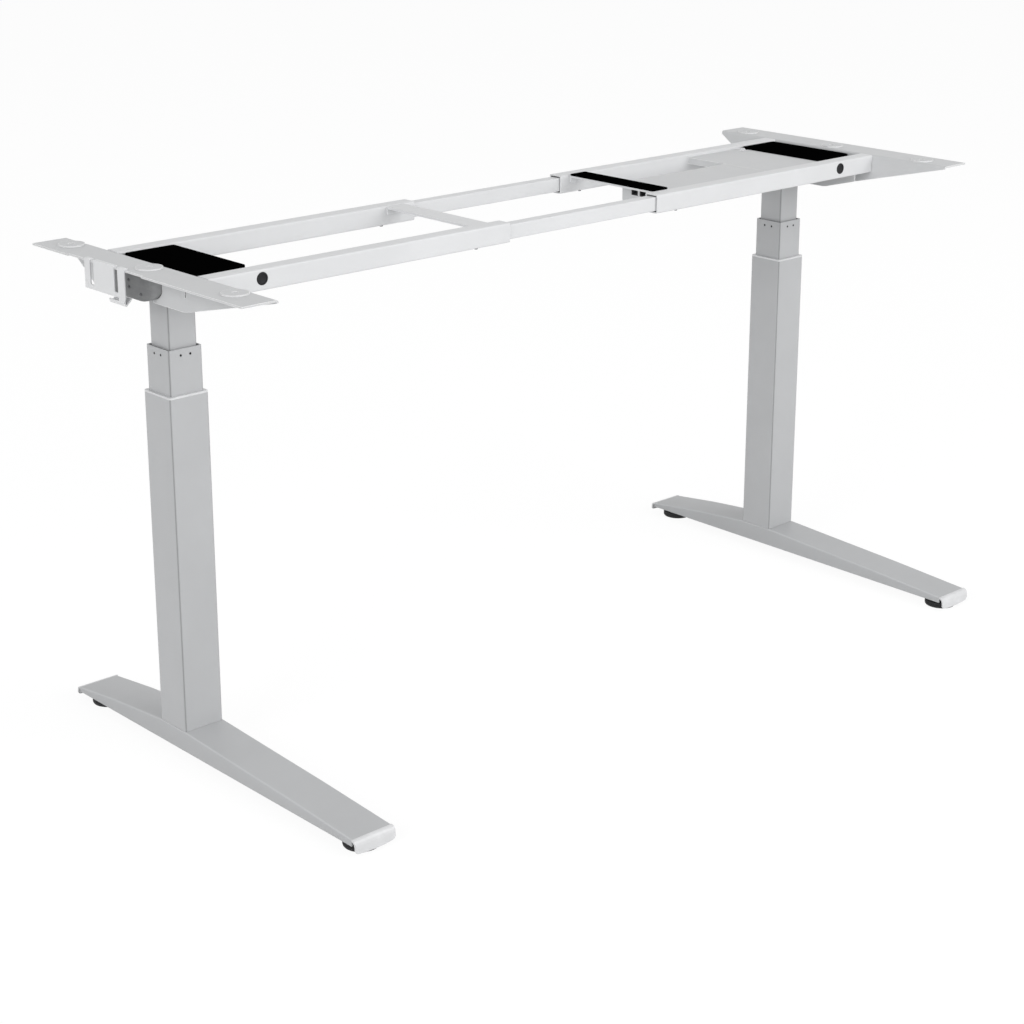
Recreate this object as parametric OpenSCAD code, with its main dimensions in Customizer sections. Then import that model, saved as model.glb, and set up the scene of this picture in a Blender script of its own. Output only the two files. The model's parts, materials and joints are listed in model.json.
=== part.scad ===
// Height-adjustable standing desk frame: two telescopic lifting columns on long feet,
// joined by a rail frame that slides out to suit the width of the table top.
// X runs along the width of the desk, Y from the user's side to the back, Z up.
// The origin is on the floor, midway between the columns and midway along the feet.

/* [Overall] */
// Distance between the axes of the two columns
column_spacing = 1381; // [1300:1:1480]
// Height of the foot's top face under the column
foot_h = 51; // [46:1:60]
// Length of the outer column above the foot
outer_len = 544; // [520:1:600]
// How far the middle column stands out of the outer one, as shown
mid_show = 71; // [40:1:200]
// How far the inner column stands out of the middle one, as shown
inner_show = 79; // [76:1:200]
// Height from the inner column's top to the top of the side brackets
head_h = 60; // [58:1:66]

/* [Columns] */
// Width of the square outer column
outer_w = 70; // [69:0.5:72]
// Width of the square middle column
mid_w = 60; // [59:0.5:61]
// Width of the square inner column
inner_w = 50; // [49:0.5:51]
// Wall of the three columns
column_wall = 2; // [1.6:0.1:2.2]
// Corner radius of the outer column
outer_corner = 4; // [3:0.5:5]
// Corner radius of the middle and inner columns
slim_corner = 3.5; // [3:0.5:4]
// How much shorter the middle column is than the outer one
mid_less = 18; // [16:1:60]
// How much shorter the inner column is than the outer one
inner_less = 44; // [36:1:80]
// Running gap between a column and its plastic guides
guide_gap = 0.3; // [0.2:0.05:0.4]

/* [Foot] */
// Width of the foot
foot_w = 74; // [72:1:84]
// Reach of the foot in front of the column's axis
front_reach = 452; // [420:1:520]
// Reach of the foot behind the column's axis
rear_reach = 276; // [250:1:340]
// Height of the foot's top face at its front end
front_tip_h = 28.5; // [27:0.5:32]
// Height of the foot's top face at its rear end
rear_tip_h = 25.5; // [24.5:0.5:30]
// Height of the lower edge of the foot's sides
skirt_z = 18; // [15:0.5:19]
// Sheet of the foot
foot_wall = 3; // [2:0.5:3.5]
// Radius of a levelling glide
glide_r = 28; // [20:0.5:29]
// Height of a levelling glide's disc
glide_h = 11; // [9:0.5:11.5]

/* [Rails] */
// Width of an outer rail
rail_w = 28; // [27:0.5:30]
// Height of an outer rail
rail_h = 32; // [31:0.5:34]
// Wall of the rails
rail_wall = 2; // [1.5:0.1:2.2]
// Width of an inner rail
inner_rail_w = 21; // [20:0.5:21.5]
// Height of an inner rail
inner_rail_h = 24; // [22:0.5:25]
// Length of an inner rail
inner_rail_len = 700; // [600:1:760]
// Distance from the middle of the desk to the open end of an outer rail
rail_mouth_x = 168; // [160:1:185]
// Distance of the front rail's axis in front of the columns' axes
front_rail_y = 162; // [160:1:175]
// Distance of the rear rail's axis behind the columns' axes
rear_rail_y = 73.5; // [72:0.5:85]
// Diameter of a round rail plug's hole
plug_hole_d = 17.6; // [14:0.2:20]

/* [Side brackets] */
// Sheet of the side brackets
bracket_t = 3; // [2.5:0.5:3.5]
// Width of a bracket's flange
flange_w = 61; // [58:1:70]
// Reach of a bracket in front of the column's axis
bracket_front = 341; // [335:1:380]
// Reach of a bracket behind the column's axis
bracket_rear = 199; // [190:1:230]
// Distance from the column's axis to the bracket's web
web_offset = 52.5; // [50:0.5:56]
// Distance between neighbouring table top holes
hole_pitch = 211; // [205:1:212]
// Distance of the rear hole behind the column's axis
rear_hole_y = 150; // [146:1:152]
// Diameter of a table top screw hole
screw_hole_d = 9; // [6:0.5:10]
// Diameter of the raised boss round a hole
boss_d = 40; // [34:1:42]
// Height of the raised boss
boss_h = 2; // [1.5:0.1:2.4]

/* [Control box] */
// Length of the control box
box_len = 266; // [200:1:268]
// Depth of the control box from front to back
box_depth = 115; // [100:1:140]
// Height of the control box without its lid
box_h = 30; // [26:1:31]
// Wall of the control box
box_wall = 2; // [1.5:0.5:3]

/* [Cable clip] */
// Length of the clip along the bracket
clip_len = 106; // [100:1:120]
// Height of the clip
clip_h = 43; // [38:1:48]
// Sheet of the clip
clip_t = 2; // [1.5:0.1:2.5]

/* [Hidden] */
$fn = 48;

LEFT = -1;
RIGHT = 1;

// One overrun for every cut
over = 1;
// Gap at a slip fit inside one assembly
slip = 0.2;
// Radial gap of a shaft in its bore
run_gap = 0.05;

// Paint
silver = [0.70, 0.71, 0.73];
pale = [0.85, 0.86, 0.88];
near_white = [0.93, 0.93, 0.94];
steel = [0.62, 0.63, 0.65];
grey = [0.38, 0.39, 0.40];
dark = [0.13, 0.13, 0.14];
black = [0.02, 0.02, 0.02];

// Places of the columns and heights of the stages
column_x = column_spacing / 2;
cap_t = 3.5;
front_cap_h = 22.5;
rear_cap_h = 16;
cap_lean_share = 0.27;
function cap_end(reach, h) = reach + cap_t + h * cap_lean_share;
column_y = (cap_end(front_reach, front_cap_h) - cap_end(rear_reach, rear_cap_h)) / 2;
outer_top = foot_h + outer_len;
mid_top = outer_top + mid_show;
inner_top = mid_top + inner_show;
mid_len = outer_len - mid_less;
inner_len = outer_len - inner_less;
mid_bottom = mid_top - mid_len;
inner_bottom = inner_top - inner_len;
flange_top = inner_top + head_h;
rail_top = flange_top;
rail_z = rail_top - rail_h / 2;

outer_bore = outer_w - 2 * column_wall;
mid_bore = mid_w - 2 * column_wall;
inner_bore = inner_w - 2 * column_wall;

// Foot outline: shares of the reach and of the fall from the column to the tip
shoulder_reach_share = 0.3;
shoulder_fall_share = 0.23;
waist_reach_share = 0.66;
waist_fall_share = 0.58;
haunch_reach_share = 0.62;
haunch_fall_share = 0.49;
// Tongue of a cap: how far it goes into the foot, its gap under the top sheet, its height,
// and how far it stands in from the sides
cap_tongue_len = 10;
cap_tongue_drop = 0.5;
cap_tongue_h = 3.5;
cap_tongue_side = 12;
// Section of a cap's curved plate: shares of its bulge and of its height, outside and inside
cap_outside = [[0, 0], [0.33, 0], [0.65, 0.06], [0.86, 0.19], [0.96, 0.37], [1, 1]];
cap_inside = [[0.74, 1], [0.70, 0.44], [0.59, 0.28], [0.42, 0.2], [0.25, 0.15], [0, 0.15]];
cap_corner_share = 0.2;
cap_bow_share = 0.1;
// Levelling glides, and how far their edges lie from the ends of the foot
front_glide_inset = -4;
rear_glide_inset = 3;
glide_base_h = 3;
glide_base_inset = 2;
stem_r = 4;
stem_top_gap = 2.5;
glide_boss_r = 8;
glide_boss_gap = 2.5;
glide_boss_sink_share = 0.8;
// Plate and bolts that hold the outer column on the foot
base_plate_t = 6;
base_bolt_offset = 22;
base_bolt_r = 4;
base_bolt_head_r = 7;
base_bolt_head_h = 5;
base_bolt_end = 4;

// Lifting screws, from the middle out
shaft_r = 5;
shaft_less = 140;
shaft_len = inner_len - shaft_less;
shaft_in_gearbox = 25;
shaft_collar_r = 8;
shaft_collar_h = 6;
fixed_screw_r = 9;
fixed_screw_bore_r = 6;
fixed_screw_less = 41;
fixed_screw_len = outer_len - fixed_screw_less;
screw_tube_r = 14;
screw_tube_wall = 4;
screw_nut_len = 38;
screw_cap_h = 10;
screw_collar_r = 18;
screw_collar_h = 6;
screw_tube_less = 26;
screw_tube_up = mid_len - screw_tube_less;
seat_gap = 0.3;
// Plastic guides
guide_plug_h = 20;
guide_flange_h = 8;
nut_block_h = 30;
liner_len = 30;
liner_sink = 1;
collar_lip_h = 3;
collar_liner_len = 32;
pip_r = 2;
pip_depth = 10;
pip_offset = 8.5;

// Gearbox and motor
gear_body_h = 47;
gear_body_back = 38;
gear_body_front = 40;
gear_body_in = 38;
gear_body_out = 25;
nose_out = 66.5;
nose_front = 62;
nose_back = 53;
nose_lift = 2;
nose_h = 50;
nose_flat = 18;
nose_round = 66;
nose_turn = 22;
nose_corner = 12;
neck_front = 34;
neck_back = 28;
neck_lift = 2;
motor_r = 17;
motor_z = 29;
motor_len = 72;
motor_cap_r = 13;
motor_cap_len = 8;
cover_screw_r = 2.5;
cover_screw_head = 1.6;
cover_screw_places = [[11, 29], [10, 18], [-21, 12]];

// Plate on the gearbox, and the foam on it
plate_t = 3;
plate_in = 50.5;
plate_out = 28.5;
tab_gap = 0.5;
tab_front = 158;
tab_heel = 92;
tab_back = 57;
tab_drop = 8;
tab_rise = 19;
tab_corner = 38;
tab_window_gap = 1.5;
tab_rail_gap = 0.5;
ear_gap = 2;
pad_t = 8;
pad_in = 46;
pad_out = 42;
pad_front = 128;
pad_back = 57;

// Side bracket: the outline of its web, seen from the side
bend_r = 4;
web_tip_front_h = 5;
web_tip_rear_h = 6;
web_h = 59.5;
web_knee_front = 131;
web_knee_front_h = 56.5;
web_flat_front = 114;
web_knee_rear = 150;
web_knee_rear_h = 39;
web_flat_rear = 122;
web_window_gap = 0.8;
web_toe = 36;
web_slit_y = 122;
web_slit_w = 3;
web_slit_top = 25;
web_slit_len = 12;
boss_offset = 23;
boss_wall = 3;
clip_seat_front = 97;
clip_seat_rear = 99;
clip_seat_depth = 3.5;

// Rails
rail_corner = 3;
inner_rail_corner = 2;
rail_end_gap = 0.3;
bush_len = 40;
bush_sink = 2;
plug_inset = 40;
plug_rise = 2;
plug_lip = 1;
plug_lip_w = 1;
plug_depth = 5;
clamp_screw_r = 3;
clamp_screw_x = 20;
clamp_screw_len = 8;

// Cross braces and the foam strip on the right one
brace_in = 22;
brace_w = 38;
brace_t = 4;
brace_sink = 1;
brace_tab_h = 8;
strip_t = 3;
strip_side = 2;
strip_lip = 2;

// Control box, its lid and sockets, and the cover plate
box_gap = 1;
lid_t = 2.5;
lid_sink = 5.5;
socket_w = 16;
socket_h = 16;
socket_gap = 4;
socket_depth = 14;
socket_wall = 1.6;
socket_first = 22;
socket_drop = 0.8;
light_r = 2.5;
light_step = 11;
cover_t = 2;
cover_slot_w = 10;
cover_slot_d = 5;
cover_slot_in = 9;
cover_slot_back = 20;
cover_tab_h = 4;
cover_tab_w = 12;
cover_lip_h = 10;

// Cable clip
clip_centre_y = 2.5;
clip_finger_gap = 10;
clip_slit_step = 32;
clip_slit_shift = 1.5;
clip_slit_foot = 7;
clip_hook_in = 5;
tongue_w = 40;
tongue_neck_w = 15;
tongue_lean = 2;
tongue_neck_h = 4;
tongue_lip_h = 6;
tongue_back = 9.5;
tongue_rise = 10;

web_x = column_x + web_offset;
plug_x = column_x - plug_inset;
plate_bottom = inner_top + gear_body_h;
pad_bottom = plate_bottom + plate_t;
brace_x = rail_mouth_x + brace_in;
box_x = brace_x + brace_w + box_gap;
box_end_x = box_x + box_len;
lid_top = rail_top - lid_sink;
box_top = lid_top - lid_t;
rail_front_face = -front_rail_y + rail_w / 2;
rail_rear_face = rear_rail_y - rail_w / 2;

// Puts a piece drawn for the right-hand side on either side of the desk
module at_side(side) {
    translate([0, column_y, 0])
        mirror([side == LEFT ? 1 : 0, 0, 0])
            children();
}

// Puts a piece on the axis of the right-hand column
module on_column(z) {
    translate([column_x, 0, z])
        children();
}

module rounded_rect(w, d, r) {
    square([w - 2 * r, d], center = true);
    square([w, d - 2 * r], center = true);
    for (i = [-1, 1], j = [-1, 1])
        translate([i * (w / 2 - r), j * (d / 2 - r)])
            circle(r);
}

// Upright square tube with rounded corners
module square_tube(w, wall, r, h) {
    linear_extrude(h)
        difference() {
            rounded_rect(w, w, r);
            rounded_rect(w - 2 * wall, w - 2 * wall, r - wall / 2);
        }
}

// Upright square block with rounded corners
module square_block(w, r, h) {
    linear_extrude(h)
        rounded_rect(w, w, r);
}

// Rectangular tube that runs along X from x0 to x1, centred on y and z
module rail_tube(x0, x1, y, z, w, h, wall, r) {
    translate([x0, y, z])
        rotate([90, 0, 90])
            linear_extrude(x1 - x0)
                difference() {
                    rounded_rect(w, h, r);
                    rounded_rect(w - 2 * wall, h - 2 * wall, r - wall / 2);
                }
}

// Draws a side view, given as points of Y and Z, and gives it a width along X
module side_profile(points, x0, width) {
    translate([x0, 0, 0])
        rotate([90, 0, 90])
            linear_extrude(width)
                polygon(points);
}

// Height of the foot's top face at a distance in front of the column's axis
function foot_edge() = outer_w / 2;
function front_fall() = foot_h - front_tip_h;
function rear_fall() = foot_h - rear_tip_h;

function foot_top_points(drop) = [
    [-front_reach, front_tip_h - drop],
    [-front_reach * waist_reach_share, foot_h - front_fall() * waist_fall_share - drop],
    [-front_reach * shoulder_reach_share, foot_h - front_fall() * shoulder_fall_share - drop],
    [-foot_edge(), foot_h - drop],
    [foot_edge(), foot_h - drop],
    [rear_reach * haunch_reach_share, foot_h - rear_fall() * haunch_fall_share - drop],
    [rear_reach, rear_tip_h - drop]
];

// Height of the foot's underside at the glides
function front_glide_y() = -(front_reach - glide_r - front_glide_inset);
function rear_glide_y() = rear_reach - glide_r - rear_glide_inset;
function front_slope() = front_fall() * (1 - waist_fall_share) / (front_reach * (1 - waist_reach_share));
function rear_slope() = rear_fall() * (1 - haunch_fall_share) / (rear_reach * (1 - haunch_reach_share));
function front_ceiling() =
    front_tip_h - foot_wall + front_slope() * (glide_r + front_glide_inset - glide_boss_r);
function rear_ceiling() =
    rear_tip_h - foot_wall + rear_slope() * (glide_r + rear_glide_inset - glide_boss_r);

module glide_boss(y, ceiling) {
    z0 = glide_h + glide_boss_gap;
    translate([column_x, y, z0])
        cylinder(h = ceiling + foot_wall * glide_boss_sink_share - z0, r = glide_boss_r);
}

module glide_stem_hole(y, ceiling) {
    translate([column_x, y, glide_h])
        cylinder(h = ceiling - glide_h, r = stem_r + run_gap);
}

module foot_channel() {
    difference() {
        side_profile(concat(foot_top_points(0), [[rear_reach, skirt_z], [-front_reach, skirt_z]]),
            column_x - foot_w / 2, foot_w);
        side_profile(concat(
                [[-front_reach - over, front_tip_h - foot_wall]],
                foot_top_points(foot_wall),
                [[rear_reach + over, rear_tip_h - foot_wall],
                 [rear_reach + over, skirt_z - over],
                 [-front_reach - over, skirt_z - over]]),
            column_x - foot_w / 2 + foot_wall, foot_w - 2 * foot_wall);
    }
}

module foot(side) {
    color(silver)
        at_side(side)
            difference() {
                union() {
                    foot_channel();
                    glide_boss(front_glide_y(), front_ceiling());
                    glide_boss(rear_glide_y(), rear_ceiling());
                }
                glide_stem_hole(front_glide_y(), front_ceiling());
                glide_stem_hole(rear_glide_y(), rear_ceiling());
                for (i = [-1, 1], j = [-1, 1])
                    translate([column_x + i * base_bolt_offset, j * base_bolt_offset, foot_h - foot_wall - over])
                        cylinder(h = foot_wall + 2 * over, r = base_bolt_r + slip);
            }
}

// Front view of a cap: straight above, with cut corners and a slight bow below
module cap_front_view(h) {
    polygon([
        [-foot_w / 2, over],
        [-foot_w / 2, -h * (1 - cap_corner_share - cap_bow_share)],
        [-foot_w / 2 + h * cap_corner_share / 2, -h * (1 - cap_corner_share / 4 - cap_bow_share)],
        [-foot_w / 2 + h * cap_corner_share, -h * (1 - cap_bow_share)],
        [-foot_w / 4, -h * (1 - cap_bow_share / 4)],
        [0, -h],
        [foot_w / 4, -h * (1 - cap_bow_share / 4)],
        [foot_w / 2 - h * cap_corner_share, -h * (1 - cap_bow_share)],
        [foot_w / 2 - h * cap_corner_share / 2, -h * (1 - cap_corner_share / 4 - cap_bow_share)],
        [foot_w / 2, -h * (1 - cap_corner_share - cap_bow_share)],
        [foot_w / 2, over]
    ]);
}

// End cap: a curved plate with a tongue that plugs the hollow foot
module foot_cap(reach, tip_h, h, way) {
    bulge = cap_end(0, h);
    tongue_top = tip_h - foot_wall - cap_tongue_drop;
    tongue_out = bulge * (cap_outside[3][0] + cap_inside[1][0]) / 2;
    intersection() {
        side_profile([for (p = concat(cap_outside, cap_inside))
                [way * (reach + p[0] * bulge), tip_h - p[1] * h]],
            column_x - foot_w / 2, foot_w);
        translate([column_x, way * reach, tip_h])
            rotate([90, 0, 0])
                linear_extrude(4 * bulge, center = true)
                    cap_front_view(h);
    }
    side_profile([
            [way * (reach - cap_tongue_len), tongue_top],
            [way * (reach + tongue_out), tongue_top],
            [way * (reach + tongue_out), tongue_top - cap_tongue_h],
            [way * (reach - cap_tongue_len), tongue_top - cap_tongue_h]
        ], column_x - foot_w / 2 + cap_tongue_side, foot_w - 2 * cap_tongue_side);
}

module foot_caps(side) {
    color(pale)
        at_side(side) {
            foot_cap(front_reach, front_tip_h, front_cap_h, -1);
            foot_cap(rear_reach, rear_tip_h, rear_cap_h, 1);
        }
}

module glide(side, y, ceiling) {
    color(black)
        at_side(side)
            translate([column_x, y, 0]) {
                cylinder(h = glide_base_h, r1 = glide_r - glide_base_inset, r2 = glide_r);
                translate([0, 0, glide_base_h])
                    cylinder(h = glide_h - glide_base_h, r = glide_r);
                translate([0, 0, glide_h])
                    cylinder(h = ceiling - stem_top_gap - glide_h, r = stem_r);
            }
}

module outer_column(side) {
    color(silver)
        at_side(side)
            on_column(foot_h)
                square_tube(outer_w, column_wall, outer_corner, outer_len - collar_lip_h);
}

// Plastic collar in the mouth of the outer column, with a lip that shows
module outer_collar(side) {
    slide_w = mid_w + 2 * guide_gap;
    color(pale)
        at_side(side)
            on_column(outer_top - collar_lip_h)
                difference() {
                    union() {
                        square_block(outer_w, outer_corner, collar_lip_h);
                        translate([0, 0, -collar_liner_len])
                            square_block(outer_bore - 2 * slip, outer_corner - column_wall / 2, collar_liner_len + over);
                    }
                    translate([0, 0, -collar_liner_len - over])
                        square_block(slide_w, slim_corner, collar_liner_len + collar_lip_h + 2 * over);
                }
}

module column_bolts(side) {
    color(steel)
        at_side(side)
            for (i = [-1, 1], j = [-1, 1])
                translate([column_x + i * base_bolt_offset, j * base_bolt_offset, foot_h - foot_wall]) {
                    translate([0, 0, -base_bolt_head_h])
                        cylinder(h = base_bolt_head_h, r = base_bolt_head_r, $fn = 6);
                    cylinder(h = foot_wall + base_plate_t + base_bolt_end, r = base_bolt_r);
                }
}

// Hollow screw that stands still on the plate in the foot of the outer column
module fixed_screw(side) {
    color(steel)
        at_side(side)
            on_column(foot_h)
                difference() {
                    union() {
                        square_block(outer_bore - 2 * slip, outer_corner - column_wall / 2, base_plate_t);
                        cylinder(h = base_plate_t + fixed_screw_len, r = fixed_screw_r);
                    }
                    translate([0, 0, base_plate_t])
                        cylinder(h = fixed_screw_len + over, r = fixed_screw_bore_r);
                    for (i = [-1, 1], j = [-1, 1])
                        translate([i * base_bolt_offset, j * base_bolt_offset, -over])
                            cylinder(h = base_plate_t + 2 * over, r = base_bolt_r + run_gap);
                }
}

// Holes or pips in the four faces of the middle column, near its top
module pips(r, depth, out) {
    for (turn = [0 : 90 : 270], i = [-1, 1])
        rotate([0, 0, turn])
            translate([i * pip_offset, mid_w / 2 - depth, -pip_depth])
                rotate([-90, 0, 0])
                    cylinder(h = depth + out, r = r, $fn = 24);
}

module mid_column(side) {
    color(silver)
        at_side(side)
            on_column(mid_bottom)
                difference() {
                    square_tube(mid_w, column_wall, slim_corner, mid_len);
                    translate([0, 0, mid_len])
                        pips(pip_r, column_wall + over, over);
                }
}

// Plastic liner in the mouth of the middle column
module mid_liner(side) {
    slide_w = inner_w + 2 * guide_gap;
    liner_w = mid_bore - 2 * slip;
    pip_len = column_wall + (mid_bore - liner_w) / 2 + over;
    color(dark)
        at_side(side)
            on_column(mid_top - liner_sink) {
                difference() {
                    translate([0, 0, -liner_len])
                        square_block(liner_w, slim_corner - column_wall / 2, liner_len);
                    translate([0, 0, -liner_len - over])
                        square_block(slide_w, slim_corner, liner_len + 2 * over);
                }
                translate([0, 0, liner_sink])
                    pips(pip_r - slip, pip_len, 0);
            }
}

// Plastic plug in the foot of the middle column, which carries the turning screw
module mid_bearing(side) {
    color(dark)
        at_side(side)
            on_column(mid_bottom)
                difference() {
                    union() {
                        translate([0, 0, -guide_flange_h])
                            square_block(outer_bore - 2 * guide_gap, outer_corner - column_wall / 2, guide_flange_h);
                        square_block(mid_bore - 2 * slip, slim_corner - column_wall / 2, guide_plug_h);
                    }
                    translate([0, 0, -guide_flange_h - over])
                        cylinder(h = guide_flange_h + guide_plug_h + 2 * over, r = screw_tube_r + run_gap);
                }
}

// Turning hollow screw: its nut runs on the fixed screw, its cap is turned by the hexagonal shaft
module screw_tube(side) {
    color(steel)
        at_side(side)
            on_column(mid_bottom - guide_flange_h)
                difference() {
                    union() {
                        cylinder(h = guide_flange_h + screw_tube_up, r = screw_tube_r);
                        translate([0, 0, guide_flange_h + guide_plug_h + seat_gap])
                            cylinder(h = screw_collar_h, r = screw_collar_r);
                    }
                    translate([0, 0, -over])
                        cylinder(h = screw_nut_len + 2 * over, r = fixed_screw_r + run_gap);
                    translate([0, 0, screw_nut_len])
                        cylinder(h = guide_flange_h + screw_tube_up - screw_nut_len - screw_cap_h,
                            r = screw_tube_r - screw_tube_wall);
                    translate([0, 0, guide_flange_h + screw_tube_up - screw_cap_h - over])
                        cylinder(h = screw_cap_h + 2 * over, r = shaft_r + run_gap, $fn = 6);
                }
}

module inner_column(side) {
    color(silver)
        at_side(side)
            on_column(inner_bottom)
                square_tube(inner_w, column_wall, slim_corner, inner_len);
}

// Nut in the foot of the inner column, which climbs the turning screw
module nut_block(side) {
    color(dark)
        at_side(side)
            on_column(inner_bottom)
                difference() {
                    union() {
                        translate([0, 0, -guide_flange_h])
                            square_block(mid_bore - 2 * guide_gap, slim_corner - column_wall / 2, guide_flange_h);
                        square_block(inner_bore - 2 * slip, slim_corner - column_wall / 2, nut_block_h);
                    }
                    translate([0, 0, -guide_flange_h - over])
                        cylinder(h = guide_flange_h + nut_block_h + 2 * over, r = screw_tube_r + run_gap);
                }
}

// Hexagonal shaft that hangs in the gearbox and slides in the cap of the turning screw
module drive_shaft(side) {
    color(steel)
        at_side(side)
            on_column(inner_top) {
                translate([0, 0, -shaft_len])
                    cylinder(h = shaft_len - seat_gap, r = shaft_r, $fn = 6);
                translate([0, 0, -seat_gap - shaft_collar_h])
                    cylinder(h = shaft_collar_h, r = shaft_collar_r);
                translate([0, 0, -seat_gap - shaft_collar_h / 2])
                    cylinder(h = shaft_in_gearbox, r = shaft_r);
            }
}

function arc_points(centre, r, start, end, n) = [
    for (i = [0:n]) centre + r * [cos(start + (end - start) * i / n), sin(start + (end - start) * i / n)]
];

// Angle at which the casing's long underside curve meets the tighter turn of its nose
function nose_lean() = asin((nose_front - nose_flat - nose_turn) / (nose_round - nose_turn));

// Side view of the gearbox's outer casing: a long curve below that turns up into the nose, a small corner behind.
// grow moves the whole outline outwards.
module casing_outline(h, grow = 0) {
    polygon(concat(
        arc_points([nose_back - nose_corner, nose_corner], nose_corner + grow, 0, -90, 6),
        arc_points([-nose_flat, nose_round], nose_round + grow, -90, -90 - nose_lean(), 6),
        arc_points([-nose_front + nose_turn, nose_round - (nose_round - nose_turn) * cos(nose_lean())],
            nose_turn + grow, -90 - nose_lean(), -180, 6),
        [[-nose_front - grow, h + grow], [nose_back + grow, h + grow]]
    ));
}

// The casing from a distance beside the column outwards: its side view, with the nose also rounded seen from above
module casing(from_x, h) {
    intersection() {
        translate([from_x, 0, 0])
            rotate([90, 0, 90])
                linear_extrude(nose_out - from_x)
                    casing_outline(h);
        translate([0, 0, -over])
            linear_extrude(h + 2 * over)
                polygon(concat(
                    [[nose_out + over, nose_back + over], [from_x - over, nose_back + over],
                     [from_x - over, -nose_front - over], [nose_out - nose_turn, -nose_front - over]],
                    arc_points([nose_out - nose_turn, -nose_front + nose_turn], nose_turn, -90, 0, 8),
                    [[nose_out + over, -nose_front + nose_turn]]
                ));
    }
}

// How far in front of the axis the rounded nose crosses the web's inner face
function nose_at_web() =
    nose_front - nose_turn + sqrt(nose_turn * nose_turn - pow(nose_turn - nose_out + web_offset, 2));

module gearbox(side) {
    casing_in = inner_w / 2 + tab_gap + plate_t + slip;
    color(grey)
        at_side(side)
            on_column(inner_top)
                difference() {
                    union() {
                        translate([-gear_body_in, -gear_body_front, 0])
                            cube([gear_body_in + gear_body_out, gear_body_front + gear_body_back, gear_body_h]);
                        translate([0, -neck_front, neck_lift])
                            cube([casing_in + over, neck_front + neck_back, gear_body_h - 2 * neck_lift]);
                        translate([0, 0, nose_lift]) {
                            casing(casing_in, gear_body_h - nose_lift);
                            casing(pad_out + slip, nose_h);
                        }
                    }
                    translate([0, 0, -over])
                        cylinder(h = shaft_in_gearbox + over, r = shaft_r + run_gap);
                }
}

// Motor that lies along Y in front of the gearbox
module motor(side) {
    color(grey)
        at_side(side)
            on_column(inner_top + motor_z)
                translate([0, -gear_body_front, 0])
                    rotate([90, 0, 0]) {
                        cylinder(h = motor_len, r = motor_r);
                        translate([0, 0, motor_len])
                            cylinder(h = motor_cap_len, r = motor_cap_r);
                    }
}

// Cover screws on the nose, and the screws under the rails that clamp the inner rails
module head_screws(side) {
    color(dark)
        at_side(side) {
            for (place = cover_screw_places)
                translate([column_x + nose_out, place[0], inner_top + place[1]])
                    rotate([0, 90, 0])
                        cylinder(h = cover_screw_head, r = cover_screw_r);
            for (y = [-front_rail_y, rear_rail_y])
                translate([rail_mouth_x + clamp_screw_x + bush_len, y, rail_top - rail_h - clamp_screw_len / 2])
                    cylinder(h = clamp_screw_len / 2 + rail_wall, r = clamp_screw_r);
        }
}

// Side view of a bracket: points of Y and height below the flange's top
module bracket_side_view() {
    polygon([
        [-bracket_front, 0],
        [bracket_rear, 0],
        [bracket_rear, -web_tip_rear_h],
        [web_knee_rear, -web_knee_rear_h],
        [web_flat_rear, -web_h],
        [-web_flat_front, -web_h],
        [-web_knee_front, -web_knee_front_h],
        [-bracket_front, -web_tip_front_h]
    ]);
}

// Opening in a web for the gearbox's casing, which leaves a toe of the web below the casing's nose
module web_window() {
    intersection() {
        casing_outline(nose_h, web_window_gap);
        translate([-nose_at_web() - web_window_gap, -web_window_gap])
            square([nose_at_web() + nose_back + 2 * web_window_gap, nose_h + 2 * web_window_gap]);
    }
    translate([-web_toe, -nose_lift - head_h])
        square([web_toe + nose_back + web_window_gap, nose_lift + head_h + nose_h / 2]);
}

// Section of a bracket: a flange and a web that meet in a round bend
module bracket_section() {
    difference() {
        union() {
            translate([bend_r, -bracket_t])
                square([flange_w - bend_r, bracket_t]);
            translate([0, -web_h])
                square([bracket_t, web_h - bend_r]);
            translate([bend_r, -bend_r])
                circle(bend_r);
        }
        translate([bracket_t, -web_h - over])
            square([flange_w, web_h + over - bracket_t]);
    }
}

function hole_places() = [rear_hole_y, rear_hole_y - hole_pitch, rear_hole_y - 2 * hole_pitch];

module side_bracket(side) {
    color(silver)
        at_side(side)
            translate([web_x, 0, flange_top])
                difference() {
                    union() {
                        intersection() {
                            translate([0, bracket_rear, 0])
                                rotate([90, 0, 0])
                                    linear_extrude(bracket_front + bracket_rear)
                                        bracket_section();
                            translate([-over, 0, 0])
                                rotate([90, 0, 90])
                                    linear_extrude(flange_w + 2 * over)
                                        bracket_side_view();
                        }
                        for (y = hole_places())
                            translate([boss_offset, y, -bracket_t / 2])
                                cylinder(h = boss_h + bracket_t / 2, r = boss_d / 2);
                    }
                    for (y = hole_places())
                        translate([boss_offset, y, 0]) {
                            translate([0, 0, -bracket_t - over])
                                cylinder(h = bracket_t + boss_h + 2 * over, r = screw_hole_d / 2);
                            translate([0, 0, -bracket_t - over])
                                cylinder(h = bracket_t + over + boss_h - boss_wall, r = boss_d / 2 - boss_wall);
                        }
                    if (side == LEFT)
                        translate([flange_w - clip_seat_depth, -clip_seat_front, -bracket_t - over])
                            cube([clip_seat_depth + over, clip_seat_front + clip_seat_rear, bracket_t + 2 * over]);
                    translate([-over, 0, nose_lift - head_h])
                        rotate([90, 0, 90])
                            linear_extrude(bracket_t + 2 * over)
                                web_window();
                    translate([-over, -web_slit_y, -web_slit_top - web_slit_len])
                        cube([bracket_t + 2 * over, web_slit_w, web_slit_len]);
                }
}

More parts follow.
